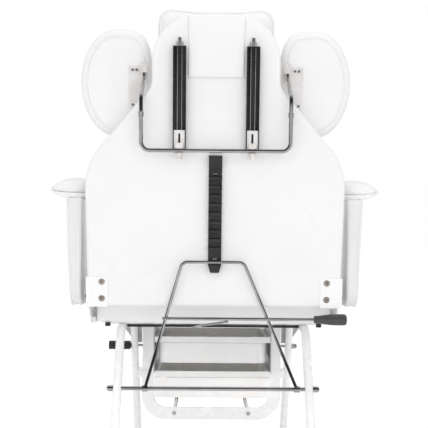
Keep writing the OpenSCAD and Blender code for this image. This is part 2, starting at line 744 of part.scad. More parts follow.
module arm_sliders() {
    color("silver") on_back() both_sides() translate([rail_centre_x, 0, 0]) difference() {
        union() {
            block([-slider_w / 2, -back_rear - rail_depth + plate, rail_from],
                [slider_w / 2, -back_rear - rail_web - 3 * gap, rail_from + slider_l]);
            block([-slider_w / 3, bar_y - arm_bar_d / 2, bar_s + arm_bar_d / 2 + gap],
                [slider_w / 3, -back_rear - rail_depth + plate + overrun, rail_from + slider_grip]);
            translate([0, bar_y, bar_s - arm_bar_d / 2 - slider_nut_l - plate])
                cylinder(d = slider_stud_d, h = slider_nut_l + arm_bar_d + 2 * plate);
            translate([0, bar_y, bar_s - arm_bar_d / 2 - plate])
                cylinder(d = 4 * slider_stud_d, h = plate / 2);
            translate([0, bar_y, bar_s - arm_bar_d / 2 - plate - slider_nut_l])
                cylinder(d = 3 * slider_stud_d, h = slider_nut_l, $fn = 6);
        }
        for (side = [-1, 1]) translate([side * wire_x, -wire_y, rail_from - overrun])
            cylinder(d = wire_d + 2 * running, h = slider_l + 2 * overrun);
        block([wire_d - wire_x, -back_rear - rail_depth - overrun, rail_from + slider_grip],
            [wire_x - wire_d, -back_rear, rail_from + slider_l - slider_bridge]);
    }
}
plate_x = [arm_bar_w / 2 - 13, arm_bar_w / 2 + 40];
plate_s = [470, 576];
plate_chamfer = 22;
socket_l = 25;
arm_screw_s = [480, 566];
module arm_plates() {
    color("silver") on_back() both_sides() difference() {
        union() {
            translate([0, pad_rear, 0]) rotate([90, 0, 0]) linear_extrude(plate) polygon([
                [plate_x[0] + plate_chamfer, plate_s[0]], [plate_x[1], plate_s[0]], [plate_x[1], plate_s[1]],
                [plate_x[0], plate_s[1]], [plate_x[0], plate_s[0] + plate_chamfer]]);
            translate([arm_bar_w / 2, socket_y, bar_top_s - socket_l]) cylinder(d = socket_d, h = socket_l);
            block([arm_bar_w / 2 - socket_d / 2, socket_y, bar_top_s - socket_l],
                [arm_bar_w / 2 + socket_d / 2, pad_rear - plate / 2, plate_s[1]]);
        }
        translate([arm_bar_w / 2, socket_y, bar_top_s - socket_l - overrun])
            cylinder(d = arm_bar_d + 2 * running, h = socket_l + 2 * overrun);
        arm_screws() along_y(arm_screw_d, pad_rear - 2 * plate, pad_rear + overrun);
    }
}
arm_screw_d = 4;
module arm_screws() {
    inset = plate_s[1] - arm_screw_s[1];
    for (place = [[plate_x[1] - inset, arm_screw_s[0]], [plate_x[0] + plate_chamfer + inset / 2, arm_screw_s[0]],
            [plate_x[1] - inset, arm_screw_s[1]], [plate_x[1] - 2 * inset, arm_screw_s[1]]])
        translate([place.x, 0, place.y]) children();
}
module arm_plate_screws() {
    color("silver") on_back() both_sides() arm_screws() {
        along_y(arm_screw_d, pad_rear - plate, pad_rear);
        translate([0, pad_rear - plate, 0]) rotate([90, 0, 0]) domed_head(2 * arm_screw_d, arm_screw_d / 2);
    }
}
arm_pad_out = 73;
arm_pad_x = arm_bar_w / 2 + arm_pad_out;
arm_pad_s = 534.5;
egg_steps = 30;
round_power = 2;
full_power = 3.4;
// An oval that is fuller at the top on the side towards the head
function egg(side, w, h) = [for (i = [0 : egg_steps - 1]) let (a = 360 * i / egg_steps)
    let (power = side * cos(a) > 0 && sin(a) > 0 ? full_power : round_power)
    let (r = pow(pow(abs(cos(a)), power) + pow(abs(sin(a)), power), -1 / power))
    [w / 2 * r * cos(a), h / 2 * r * sin(a)]];
arm_pad_crown = 14;
arm_pad_draw = 5;
module arm_pad(side) {
    color("white") on_back() translate([side * arm_pad_x, pad_rear + gap, arm_pad_s]) facing_front()
        stuffed(egg(side, arm_pad_w, arm_pad_h), [0, 0], arm_pad_t, arm_pad_crown, arm_pad_draw);
}
module arm_pad_left() { arm_pad(-1); }
module arm_pad_right() { arm_pad(1); }

// Pillow in front of the head, on a strap over the top of the back
pillow_w = 288;
pillow_s = [575, 721];
pillow_t = 70;
pillow_dip = 12;
pillow_r = 34;
strap_t = 3;
strap_w = 131;
strap_down = 545;
strap_front_down = 600;
strap_rear = back_rear + gap + strap_t;
module pillow() {
    h = pillow_s[1] - pillow_s[0];
    dipped = [for (p = round_box(pillow_w, h, pillow_r, 6)) let (share = 2 * p.x / pillow_w)
        [p.x, p.y > 0 ? p.y - pillow_dip * (1 - share * share) : p.y]];
    color("white") on_back() translate([0, back_front + gap + strap_t, (pillow_s[0] + pillow_s[1]) / 2])
        facing_front() stuffed(dipped, [0, 0], pillow_t, 2 * pillow_dip, pillow_dip / 2);
}
module pillow_strap() {
    top = back_l + gap;
    color("white") on_back() {
        block([-strap_w / 2, -strap_rear, strap_down], [strap_w / 2, strap_t - strap_rear, top + strap_t]);
        block([-strap_w / 2, -strap_rear, top], [strap_w / 2, back_front + gap + strap_t, top + strap_t]);
        block([-strap_w / 2, back_front + gap, strap_front_down],
            [strap_w / 2, back_front + gap + strap_t, top + strap_t]);
    }
}

// Leg section
leg_under_z = seat_under_z + 2 * plate;
leg_t = seat_top_z - leg_under_z;
module leg_board() { color("white") covered_board(leg_rear_y, leg_front_y, leg_under_z, seat_w, seat_round); }
module leg_cushion() {
    color("white") translate([0, (leg_rear_y + leg_front_y) / 2, leg_under_z + board_t])
        stuffed(round_box(seat_w, leg_l, seat_round, 7), [0, 0], leg_t - board_t, seat_crown, 0);
}
module leg_hinge_plates() {
    color("white") both_sides() difference() {
        union() {
            translate([0, leg_pivot_y, leg_pivot_z]) along_x(2 * ear_r, leaf_x, leaf_x + plate);
            side_plate([[leg_pivot_y, leg_pivot_z - ear_r], [leg_rear_y + seat_round + ear_foot_l, leg_under_z],
                [leg_rear_y + seat_round + ear_foot_l, leg_under_z + board_t],
                [leg_pivot_y, leg_pivot_z + ear_r]], leaf_x, leaf_x + plate);
            block([seat_w / 2 * board_share, leg_rear_y + seat_round, leg_under_z],
                [leaf_x + overrun, leg_rear_y + seat_round + ear_foot_l, leg_under_z + board_t - plate]);
        }
        translate([0, leg_pivot_y, leg_pivot_z])
            along_x(hinge_bolt_d + 2 * running, leaf_x - overrun, leaf_x + plate + overrun);
    }
}

// Armrests: a padded panel and a flat pad, on two pegs in sockets at the seat's side
panel_x = back_w / 2 + 20;
panel_under_z = 533;
panel_rear_y = -30;
panel_round = 40;
rest_board_t = 14;
rest_pad_t = 42;
rest_pad_x = panel_x - 13;
rest_pad_short = 20;
rest_pad_l = panel_l - rest_pad_short;
rest_under_z = rest_top_z - rest_pad_t - rest_board_t;
peg_d = 12;
peg_socket_d = 17;
peg_x = leaf_x + peg_socket_d / 2 + gap;
peg_y = [212, 316];
peg_foot_z = 503;
socket_top_z = 560;
peg_top_z = 575;
module rest_sockets() {
    color("gainsboro") both_sides() for (y = peg_y) difference() {
        union() {
            translate([peg_x, y, peg_foot_z - plate]) cylinder(d = peg_socket_d, h = socket_top_z - peg_foot_z + plate);
            block([seat_w / 2 * board_share, y - peg_socket_d / 2, seat_under_z + plate],
                [peg_x + peg_socket_d / 2, y + peg_socket_d / 2, peg_foot_z]);
        }
        block([0, y - peg_socket_d, seat_under_z + board_t], [seat_w / 2 + gap, y + peg_socket_d, socket_top_z]);
        translate([peg_x, y, peg_foot_z]) cylinder(d = peg_d + 2 * running, h = socket_top_z);
    }
}
module armrest_pegs() {
    color("silver") for (y = peg_y) {
        translate([peg_x, y, peg_foot_z]) cylinder(d = peg_d, h = peg_top_z - peg_foot_z);
        block([peg_x - peg_d / 2, y - peg_d, peg_top_z], [panel_x, y + peg_d, peg_top_z + plate]);
        block([panel_x - plate, y - peg_d, peg_top_z], [panel_x, y + peg_d, peg_top_z + 2 * peg_d]);
    }
}
module armrest_body() {
    color("white") {
        translate([panel_x, panel_rear_y, 0]) rotate([90, 0, 90]) linear_extrude(panel_t)
            polygon(concat(
                arc([panel_round, panel_under_z + panel_round], panel_round, 180, 270, 6),
                arc([panel_l - panel_round, panel_under_z + panel_round], panel_round, 270, 360, 6),
                [[panel_l, rest_under_z], [0, rest_under_z]]));
        translate([rest_pad_x + rest_pad_w / 2, panel_rear_y + panel_l / 2, rest_under_z])
            linear_extrude(rest_board_t) polygon(board_share * round_box(rest_pad_w, rest_pad_l, panel_round, 6));
    }
}
module armrest_pad() {
    color("white") translate([rest_pad_x + rest_pad_w / 2, panel_rear_y + panel_l / 2, rest_under_z + rest_board_t])
        stuffed(round_box(rest_pad_w, rest_pad_l, panel_round, 6), [0, 0], rest_pad_t, rest_pad_t / 2, plate);
}
module armrest_right() { armrest_body(); }
module armrest_left() { mirror([1, 0, 0]) armrest_body(); }
module armrest_pad_right() { armrest_pad(); }
module armrest_pad_left() { mirror([1, 0, 0]) armrest_pad(); }
module armrest_pegs_right() { armrest_pegs(); }
module armrest_pegs_left() { mirror([1, 0, 0]) armrest_pegs(); }

placed() side_frame_left();
placed() side_frame_right();
placed() frame_pads();
placed() rubber_feet();
placed() cross_bars();
placed() seat_board();
placed() seat_cushion();
placed() seat_studs();
placed() prop_axle();
placed() axle_nuts();
placed() back_hinge_ears();
placed() back_hinge_bolts();
placed() leg_hinge_ears();
placed() leg_hinge_bolts();
placed() tray_rail_left();
placed() tray_rail_right();
placed() hoop_brackets();
placed() hoop_stops();
placed() hoop_bolts();
placed() rest_sockets();
placed() back_board();
placed() back_cushion();
placed() back_panel();
placed() back_hinge_plates();
placed() plate_bolts();
placed() prop_rack();
placed() rack_screws();
placed() guide_rails();
placed() guide_wires();
placed() rail_bolts();
placed() prop_bail();
placed() prop_handle();
placed() handle_grip();
placed() prop_hook();
placed() arm_bar();
placed() arm_sliders();
placed() arm_plates();
placed() arm_plate_screws();
placed() arm_pad_left();
placed() arm_pad_right();
placed() pillow();
placed() pillow_strap();
placed() leg_board();
placed() leg_cushion();
placed() leg_hinge_plates();
placed() foot_hoop();
placed() foot_rods();
placed() foot_plate();
placed() hoop_screws();
placed() clamp_knob();
placed() upper_tray();
placed() lower_tray();
placed() armrest_left();
placed() armrest_right();
placed() armrest_pad_left();
placed() armrest_pad_right();
placed() armrest_pegs_left();
placed() armrest_pegs_right();
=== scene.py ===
"""A salon bed seen from behind its upright back: white artificial leather on a white tube frame."""
import json
from math import cos, exp, hypot, pi, radians, sin, tau

import bmesh
import bpy
from mathutils import Matrix, Vector, noise


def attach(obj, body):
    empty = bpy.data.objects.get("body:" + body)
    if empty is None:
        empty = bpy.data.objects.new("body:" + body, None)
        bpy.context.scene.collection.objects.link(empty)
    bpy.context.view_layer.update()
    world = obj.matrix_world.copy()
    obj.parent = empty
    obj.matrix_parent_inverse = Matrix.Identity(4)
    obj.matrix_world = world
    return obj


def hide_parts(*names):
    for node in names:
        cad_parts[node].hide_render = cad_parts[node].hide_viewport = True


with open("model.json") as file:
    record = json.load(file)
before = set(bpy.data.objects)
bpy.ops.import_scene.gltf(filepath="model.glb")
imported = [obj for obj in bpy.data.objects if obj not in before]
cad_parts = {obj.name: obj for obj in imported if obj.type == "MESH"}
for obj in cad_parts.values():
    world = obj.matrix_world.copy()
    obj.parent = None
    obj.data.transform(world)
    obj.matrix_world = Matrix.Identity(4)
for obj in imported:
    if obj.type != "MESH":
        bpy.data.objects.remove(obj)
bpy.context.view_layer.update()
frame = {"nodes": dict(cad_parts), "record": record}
BODY = {node: body for body, nodes in frame["record"]["behaviour"]["bodies"].items() for node in nodes}

# The back hinge, and the lean of the back
MID_Y = 0.419852
HINGE_Z = 0.552
LEAN = radians(8)


def on_back(x, out, s):
    """A place on the back: across, forwards from its middle plane, and up from the hinge."""
    return Vector((x, out * cos(LEAN) - s * sin(LEAN) - MID_Y, HINGE_Z + out * sin(LEAN) + s * cos(LEAN)))


def on_bed(x, y, z):
    """A place measured from the back hinge along the bed."""
    return Vector((x, y - MID_Y, z))


FORWARDS = on_back(0, 1, 0) - on_back(0, 0, 0)


# Finishes
def blank_tree(owner):
    owner.use_nodes = True
    owner.node_tree.nodes.clear()
    return owner.node_tree


def new_finish(name):
    finish = bpy.data.materials.new(name)
    tree = blank_tree(finish)
    out = tree.nodes.new("ShaderNodeOutputMaterial")
    shader = tree.nodes.new("ShaderNodeBsdfPrincipled")
    tree.links.new(shader.outputs[0], out.inputs[0])
    place = tree.nodes.new("ShaderNodeTexCoord").outputs["Object"]
    return finish, tree, shader, place


def cloud(tree, place, scale, detail=3.0, stretch=None):
    """Soft noise, stretched where a grain runs one way."""
    if stretch:
        mapping = tree.nodes.new("ShaderNodeMapping")
        mapping.inputs["Scale"].default_value = stretch
        tree.links.new(place, mapping.inputs["Vector"])
        place = mapping.outputs[0]
    node = tree.nodes.new("ShaderNodeTexNoise")
    node.inputs["Scale"].default_value = scale
    node.inputs["Detail"].default_value = detail
    tree.links.new(place, node.inputs["Vector"])
    return node.outputs["Fac"]


def spread(tree, value, low, high, from_low=0.3, from_high=0.7):
    """A noise value spread over a range."""
    node = tree.nodes.new("ShaderNodeMapRange")
    node.inputs["From Min"].default_value = from_low
    node.inputs["From Max"].default_value = from_high
    node.inputs["To Min"].default_value = low
    node.inputs["To Max"].default_value = high
    tree.links.new(value, node.inputs["Value"])
    return node.outputs[0]


def two_tones(tree, value, first, second):
    node = tree.nodes.new("ShaderNodeValToRGB")
    node.color_ramp.elements[0].position = 0.32
    node.color_ramp.elements[0].color = (*first, 1)
    node.color_ramp.elements[1].position = 0.68
    node.color_ramp.elements[1].color = (*second, 1)
    tree.links.new(value, node.inputs["Fac"])
    return node.outputs["Color"]


def relief(tree, shader, height, depth, strength, under=None):
    """Bump on a shader, laid over another where under is given."""
    node = tree.nodes.new("ShaderNodeBump")
    node.inputs["Strength"].default_value = strength
    node.inputs["Distance"].default_value = depth
    tree.links.new(height, node.inputs["Height"])
    if under is not None:
        tree.links.new(under, node.inputs["Normal"])
    tree.links.new(node.outputs[0], shader.inputs["Normal"])
    return node.outputs[0]


def artificial_leather(name, first, second, rough=(0.42, 0.54), grain=0.00022):
    finish, tree, shader, place = new_finish(name)
    tone = two_tones(tree, cloud(tree, place, 5.0, 4.0), first, second)
    tree.links.new(tone, shader.inputs["Base Color"])
    tree.links.new(spread(tree, cloud(tree, place, 60.0), *rough), shader.inputs["Roughness"])
    waves = relief(tree, shader, cloud(tree, place, 26.0, 2.0), 0.0012, 0.35)
    cells = tree.nodes.new("ShaderNodeTexVoronoi")
    cells.feature = "DISTANCE_TO_EDGE"
    cells.inputs["Scale"].default_value = 520.0
    tree.links.new(place, cells.inputs["Vector"])
    pebble = spread(tree, cells.outputs["Distance"], 0.0, 1.0, 0.0, 0.22)
    relief(tree, shader, pebble, grain, 0.5, waves)
    shader.inputs["Specular IOR Level"].default_value = 0.45
    shader.inputs["Coat Weight"].default_value = 0.06
    shader.inputs["Coat Roughness"].default_value = 0.35
    return finish


def sprayed_enamel(name, first, second):
    finish, tree, shader, place = new_finish(name)
    tree.links.new(two_tones(tree, cloud(tree, place, 9.0), first, second), shader.inputs["Base Color"])
    tree.links.new(spread(tree, cloud(tree, place, 35.0), 0.2, 0.33), shader.inputs["Roughness"])
    relief(tree, shader, cloud(tree, place, 420.0, 2.0), 0.00012, 0.5)
    shader.inputs["Coat Weight"].default_value = 0.25
    shader.inputs["Coat Roughness"].default_value = 0.12
    return finish


def plated(name, first, second, rough, grain_scale, grain_depth, stretch=None, metallic=1.0):
    finish, tree, shader, place = new_finish(name)
    tree.links.new(two_tones(tree, cloud(tree, place, 24.0), first, second), shader.inputs["Base Color"])
    tree.links.new(spread(tree, cloud(tree, place, 70.0, 4.0), *rough), shader.inputs["Roughness"])
    relief(tree, shader, cloud(tree, place, grain_scale, 2.0, stretch), grain_depth, 0.4)
    shader.inputs["Metallic"].default_value = metallic
    return finish


def moulded(name, first, second, rough, depth=0.00015, scale=700.0):
    finish, tree, shader, place = new_finish(name)
    tree.links.new(two_tones(tree, cloud(tree, place, 30.0), first, second), shader.inputs["Base Color"])
    tree.links.new(spread(tree, cloud(tree, place, 90.0), *rough), shader.inputs["Roughness"])
    relief(tree, shader, cloud(tree, place, scale, 2.0), depth, 0.6)
    return finish


def plywood(name):
    finish, tree, shader, place = new_finish(name)
    grain = cloud(tree, place, 18.0, 6.0, (1.0, 0.2, 9.0))
    tree.links.new(two_tones(tree, grain, (0.5, 0.33, 0.17), (0.72, 0.54, 0.33)), shader.inputs["Base Color"])
    tree.links.new(spread(tree, grain, 0.55, 0.75), shader.inputs["Roughness"])
    relief(tree, shader, grain, 0.0004, 0.5)
    return finish


LEATHER = artificial_leather("white_leather", (0.9, 0.9, 0.895), (0.93, 0.93, 0.93))
# The armrests' side panels are the same white leather, greyed as painted shade
SHADED_SIDE_LEATHER = artificial_leather("armrest_leather_painted_shade", (0.82, 0.815, 0.81), (0.86, 0.855, 0.85))
PIPING = artificial_leather("welt_leather", (0.85, 0.85, 0.845), (0.89, 0.89, 0.885), (0.36, 0.46), 0.0001)
THREAD = moulded("stitch_thread", (0.72, 0.72, 0.71), (0.82, 0.82, 0.81), (0.6, 0.8), 0.0002, 1800.0)
ENAMEL = sprayed_enamel("white_enamel", (0.93, 0.932, 0.938), (0.955, 0.957, 0.962))
CHROME = plated("bright_chrome", (0.4, 0.4, 0.41), (0.52, 0.515, 0.515), (0.07, 0.16), 300.0, 0.00004)
ZINC = plated("zinc_plate", (0.8, 0.76, 0.73), (0.96, 0.95, 0.945), (0.3, 0.46), 160.0, 0.0001,
              (1.0, 1.0, 0.08), metallic=0.35)
GREY_STEEL = plated("grey_steel", (0.5, 0.5, 0.51), (0.64, 0.64, 0.65), (0.32, 0.5), 220.0, 0.0001)
BOLT = plated("dull_bolt_plating", (0.4, 0.34, 0.3), (0.55, 0.48, 0.43), (0.3, 0.44), 200.0, 0.00008,
              metallic=0.5)
BLACK = moulded("black_moulding", (0.012, 0.012, 0.014), (0.028, 0.028, 0.031), (0.3, 0.46))
# Black paint for the guide rails, also painted shade on the cross bars under the seat
BLACK_RAILS_AND_SHADE = plated("black_rail_paint_and_painted_shade", (0.008, 0.008, 0.01), (0.018, 0.018, 0.021), (0.25, 0.4), 260.0,
                     0.00008, metallic=0.0)
GRIP = moulded("grip_moulding", (0.055, 0.056, 0.06), (0.085, 0.086, 0.09), (0.38, 0.52), 0.0002, 500.0)
RUBBER = moulded("black_rubber", (0.018, 0.018, 0.018), (0.035, 0.034, 0.033), (0.65, 0.85), 0.0003, 400.0)
PLY = plywood("bare_plywood")
# Painted shade for the sockets of bolts and screws, which are drawn as shallow cups
SOCKET_SHADE = moulded("socket_painted_shade", (0.12, 0.105, 0.095), (0.2, 0.18, 0.165), (0.45, 0.6))
# A grey strip that paints the shadow line under each tray's lip
PAINTED_LIP_SHADOW = moulded("tray_lip_painted_shadow", (0.46, 0.45, 0.43), (0.54, 0.53, 0.51), (0.5, 0.7))
TRAY = moulded("tray_plastic", (0.93, 0.92, 0.895), (0.96, 0.95, 0.93), (0.28, 0.4), 0.0001, 500.0)
tray_shader = TRAY.node_tree.nodes["Principled BSDF"]
tray_shader.inputs["Subsurface Weight"].default_value = 0.35
tray_shader.inputs["Subsurface Radius"].default_value = (1.0, 0.9, 0.75)
tray_shader.inputs["Subsurface Scale"].default_value = 0.012


# Making pieces
SOFT_ANGLE = 60


def shaded(mesh, angle):
    mesh.shade_smooth()
    mesh.set_sharp_from_angle(angle=radians(angle))


def new_piece(name, mesh, finish, body, nodes=(), angle=35):
    """A visible piece on its body, in place of the CAD nodes it stands for."""
    piece = bpy.data.objects.new(name, mesh)
    bpy.context.scene.collection.objects.link(piece)
    if finish is not None:
        mesh.materials.clear()
        mesh.materials.append(finish)
    shaded(mesh, angle)
    if nodes:
        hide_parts(*nodes)
    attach(piece, body)
    return piece


def mesh_from(name, bm):
    bmesh.ops.recalc_face_normals(bm, faces=bm.faces)
    mesh = bpy.data.meshes.new(name)
    bm.to_mesh(mesh)
    bm.free()
    return mesh


def finished(node, finish, edge, segments):
    """A CAD piece with its edges eased, in the finish it is given."""
    bm = bmesh.new()
    bm.from_mesh(frame["nodes"][node].data)
    bmesh.ops.remove_doubles(bm, verts=bm.verts, dist=1e-6)
    bmesh.ops.dissolve_limit(bm, angle_limit=radians(1.0), verts=bm.verts, edges=bm.edges)
    mesh = mesh_from(node + "_body", bm)
    piece = new_piece(node + "_piece", mesh, finish, BODY[node], (node,))
    if edge:
        ease = piece.modifiers.new("eased_edges", "BEVEL")
        ease.width = edge
        ease.segments = segments
        ease.limit_method = "ANGLE"
        ease.angle_limit = radians(40)
        ease.harden_normals = True


def shell(name, rings):
    """A closed skin through rings of the same number of points."""
    bm = bmesh.new()
    rows = [[bm.verts.new(p) for p in ring] for ring in rings]
    count = len(rows[0])
    for low, high in zip(rows, rows[1:]):
        for k in range(count):
            bm.faces.new((low[k], low[(k + 1) % count], high[(k + 1) % count], high[k]))
    for row in (rows[0], rows[-1]):
        middle = bm.verts.new(sum((v.co for v in row), Vector()) / count)
        for k in range(count):
            bm.faces.new((row[k], row[(k + 1) % count], middle))
    return mesh_from(name, bm)


def tube_along(name, path, radius, sides):
    """A round cord along a closed path, for welts."""
    bm = bmesh.new()
    rows = []
    count = len(path)
    side = (path[1] - path[-1]).normalized().orthogonal().normalized()
    for k, at in enumerate(path):
        way = (path[(k + 1) % count] - path[k - 1]).normalized()
        side = (side - way * side.dot(way)).normalized()
        up = way.cross(side)
        rows.append([bm.verts.new(at + radius * (cos(tau * j / sides) * side + sin(tau * j / sides) * up))
                     for j in range(sides)])
    for k in range(count):
        low, high = rows[k], rows[(k + 1) % count]
        start = 0
        if k == count - 1:
            start = min(range(sides), key=lambda j: (high[j].co - low[0].co).length)
        for j in range(sides):
            bm.faces.new((low[j], low[(j + 1) % sides], high[(j + 1 + start) % sides],
                          high[(j + start) % sides]))
    return mesh_from(name, bm)


def welt(name, path, radius, body, sides=8):
    new_piece(name, tube_along(name, path, radius, sides), PIPING, body)


def arc(cx, cy, r, first, last, steps):
    angles = [radians(first + (last - first) * k / steps) for k in range(steps + 1)]
    return [(cx + r * cos(a), cy + r * sin(a)) for a in angles]


def round_box(w, h, r):
    x, y = w / 2 - r, h / 2 - r
    corners = ((x, -y, -90), (x, y, 0), (-x, y, 90), (-x, -y, 180))
    return [place for cx, cy, first in corners for place in arc(cx, cy, r, first, first + 90, 8)]


def evened(outline, step):
    """The same closed outline with its points a step apart."""
    points = outline + outline[:1]
    legs = [hypot(b[0] - a[0], b[1] - a[1]) for a, b in zip(points, points[1:])]
    total = sum(legs)
    count = int(total / step)
    places, k, gone = [], 0, 0.0
    for i in range(count):
        want = total * i / count
        while gone + legs[k] < want:
            gone += legs[k]
            k += 1
        t = (want - gone) / legs[k] if legs[k] else 0.0
        a, b = points[k], points[k + 1]
        places.append((a[0] + (b[0] - a[0]) * t, a[1] + (b[1] - a[1]) * t))
    return places


def drawn_in(outline, inwards):
    """The outline moved inwards by a small distance."""
    count = len(outline)
    moved = []
    for k, (x, y) in enumerate(outline):
        ax, ay = outline[k - 1]
        bx, by = outline[(k + 1) % count]
        way = Vector((bx - ax, by - ay)).normalized()
        moved.append((x - way.y * inwards, y + way.x * inwards))
    return moved


def shrunk(outline, middle, share):
    return [(middle[0] + (x - middle[0]) * share, middle[1] + (y - middle[1]) * share) for x, y in outline]


EASE_STEPS = 5
WALL_STEPS = 8
CROWN_POWER = 2.4


def padded_skin(name, outline, middle, place, low, high, edge, crown, low_edge, swell, rings):
    """A cushion's skin: flat underneath, eased edges, and a crown on top that falls towards the seam."""
    rows = []
    inner = drawn_in(outline, low_edge)
    for k in range(1, rings):
        rows.append([place(x, y, low) for x, y in shrunk(inner, middle, k / rings)])
    turns = [k / EASE_STEPS * pi / 2 for k in range(EASE_STEPS + 1)]
    for a in turns:
        rows.append([place(x, y, low + low_edge * (1 - cos(a)))
                     for x, y in drawn_in(outline, low_edge * (1 - sin(a)))])
    seam = high - crown
    for k in range(1, WALL_STEPS):
        t = k / WALL_STEPS
        height = low + low_edge + (seam - edge - low - low_edge) * t
        rows.append([place(x, y, height) for x, y in drawn_in(outline, -swell * sin(pi * t))])
    for a in turns:
        rows.append([place(x, y, seam - edge * (1 - sin(a)))
                     for x, y in drawn_in(outline, edge * (1 - cos(a)))])
    top = drawn_in(outline, edge)
    for k in range(rings - 1, 0, -1):
        share = k / rings
        rows.append([place(x, y, seam + crown * (1 - share ** CROWN_POWER))
                     for x, y in shrunk(top, middle, share)])
    return shell(name, rows)


def rolled_skin(name, line, profile, place, bulge, rear_rings, front_rings):
    """A cushion's skin through a profile of (drawn in by, out from the rear), with a domed front."""
    rear_by, rear_out = profile[0]
    front_by, front_out = profile[-1]
    rear, front = drawn_in(line, rear_by), drawn_in(line, front_by)
    rows = [[place(x, s, rear_out) for x, s in shrunk(rear, (0, 0), k / rear_rings)]
            for k in range(1, rear_rings)]
    for inwards, out in profile:
        rows.append([place(x, s, out) for x, s in drawn_in(line, inwards)])
    for k in range(front_rings - 1, 0, -1):
        share = k / front_rings
        rows.append([place(x, s, front_out + bulge * (1 - share ** 2))
                     for x, s in shrunk(front, (0, 0), share)])
    return shell(name, rows)


STUFFING_FRAMES = 20


def filled(piece, voxel, cap):
    """Cloth under air pressure gives the skin its stuffed look, with no point moved further than the cap."""
    scene = bpy.context.scene
    again = piece.modifiers.new("even_mesh", "REMESH")
    again.mode = "VOXEL"
    again.voxel_size = voxel
    depsgraph = bpy.context.evaluated_depsgraph_get()
    mesh = bpy.data.meshes.new_from_object(piece.evaluated_get(depsgraph))
    piece.modifiers.clear()
    piece.data = mesh
    cloth = piece.modifiers.new("stuffing", "CLOTH")
    settings = cloth.settings
    settings.use_pressure = True
    settings.uniform_pressure_force = 4.0
    settings.effector_weights.gravity = 0.0
    settings.quality = 5
    settings.mass = 0.3
    settings.tension_stiffness = 18
    settings.compression_stiffness = 18
    settings.shear_stiffness = 6
    settings.bending_stiffness = 0.6
    cloth.point_cache.frame_start = 1
    cloth.point_cache.frame_end = STUFFING_FRAMES
    for number in range(1, STUFFING_FRAMES + 1):
        scene.frame_set(number)
    depsgraph = bpy.context.evaluated_depsgraph_get()
    swollen = piece.evaluated_get(depsgraph).to_mesh()
    for vertex, moved in zip(piece.data.vertices, swollen.vertices):
        way = moved.co - vertex.co
        if way.length > cap:
            way *= cap / way.length
        vertex.co = vertex.co + way
    piece.evaluated_get(depsgraph).to_mesh_clear()
    piece.modifiers.clear()
    scene.frame_set(1)
    smooth = piece.modifiers.new("settled", "SMOOTH")
    smooth.iterations = 4
    smooth.factor = 0.5
    depsgraph = bpy.context.evaluated_depsgraph_get()
    mesh = bpy.data.meshes.new_from_object(piece.evaluated_get(depsgraph))
    piece.modifiers.clear()
    piece.data = mesh
    shaded(mesh, SOFT_ANGLE)


def creased(piece, depth, size, seed, keep=None):
    """Slow creases of the cover, pressed into the skin along its normals."""
    mesh = piece.data
    ways = [vertex.normal.copy() for vertex in mesh.vertices]
    for vertex, way in zip(mesh.vertices, ways):
        at = vertex.co.copy()
        wave = noise.noise(Vector((at.x / size + seed, at.y / size, at.z / (size * 1.7))))
        fine = noise.noise(Vector((at.x / size * 2.7, at.y / size * 2.7 + seed, at.z / size * 1.3)))
        share = keep(at) if keep else 1.0
        vertex.co = at + way * (depth * share * (wave + 0.45 * fine))


def stitched(name, path, sizes, body):
    """Thread stitches along an open path, by Geometry Nodes."""
    line = bpy.data.curves.new(name + "_line", "CURVE")
    line.dimensions = "3D"
    spline = line.splines.new("POLY")
    spline.points.add(len(path) - 1)
    for point, at in zip(spline.points, path):
        point.co = (*at, 1)
    run = bpy.data.objects.new(name + "_run", line)
    bpy.context.scene.collection.objects.link(run)
    tree = bpy.data.node_groups.new(name + "_tree", "GeometryNodeTree")
    face = tree.interface
    face.new_socket("Geometry", in_out="INPUT", socket_type="NodeSocketGeometry")
    for label in sizes:
        face.new_socket(label, in_out="INPUT", socket_type="NodeSocketFloat")
    face.new_socket("Geometry", in_out="OUTPUT", socket_type="NodeSocketGeometry")
    node = tree.nodes.new
    start, end = node("NodeGroupInput"), node("NodeGroupOutput")
    points = node("GeometryNodeCurveToPoints")
    points.mode = "LENGTH"
    thread = node("GeometryNodeMeshCylinder")
    thread.inputs["Vertices"].default_value = 6
    place, real = node("GeometryNodeInstanceOnPoints"), node("GeometryNodeRealizeInstances")
    paint = node("GeometryNodeSetMaterial")
    paint.inputs["Material"].default_value = THREAD
    link = tree.links.new
    link(start.outputs["Geometry"], points.inputs["Curve"])
    link(start.outputs["Pitch"], points.inputs["Length"])
    link(start.outputs["Length"], thread.inputs["Depth"])
    link(start.outputs["Width"], thread.inputs["Radius"])
    link(points.outputs["Points"], place.inputs["Points"])
    link(points.outputs["Rotation"], place.inputs["Rotation"])
    link(thread.outputs["Mesh"], place.inputs["Instance"])
    link(place.outputs[0], real.inputs[0])
    link(real.outputs[0], paint.inputs["Geometry"])
    link(paint.outputs[0], end.inputs[0])
    sewing = run.modifiers.new("sewing", "NODES")
    sewing.node_group = tree
    for item in face.items_tree:
        if item.item_type == "SOCKET" and item.in_out == "INPUT" and item.name in sizes:
            sewing[item.identifier] = sizes[item.name]
    depsgraph = bpy.context.evaluated_depsgraph_get()
    mesh = bpy.data.meshes.new_from_object(run.evaluated_get(depsgraph))
    run.modifiers.clear()
    bpy.data.objects.remove(run)
    new_piece(name, mesh, None, body)


def recess(name, x, out, s, radius):
    """The hexagonal socket in the top of a bolt head on the back, shown as a shallow cup with its shade
    painted dark.
    """
    at = on_back(x, out, s)
    way = -FORWARDS
    side = way.orthogonal().normalized()
    up = way.cross(side)
    rows = []
    for r, rise in ((1.0, -0.0002), (1.0, 0.00025), (0.82, 0.00025), (0.7, -0.0001)):
        rows.append([at + way * rise + radius * r * (cos(tau * k / 6) * side + sin(tau * k / 6) * up)
                     for k in range(6)])
    new_piece(name, shell(name, rows), SOCKET_SHADE, "backrest")


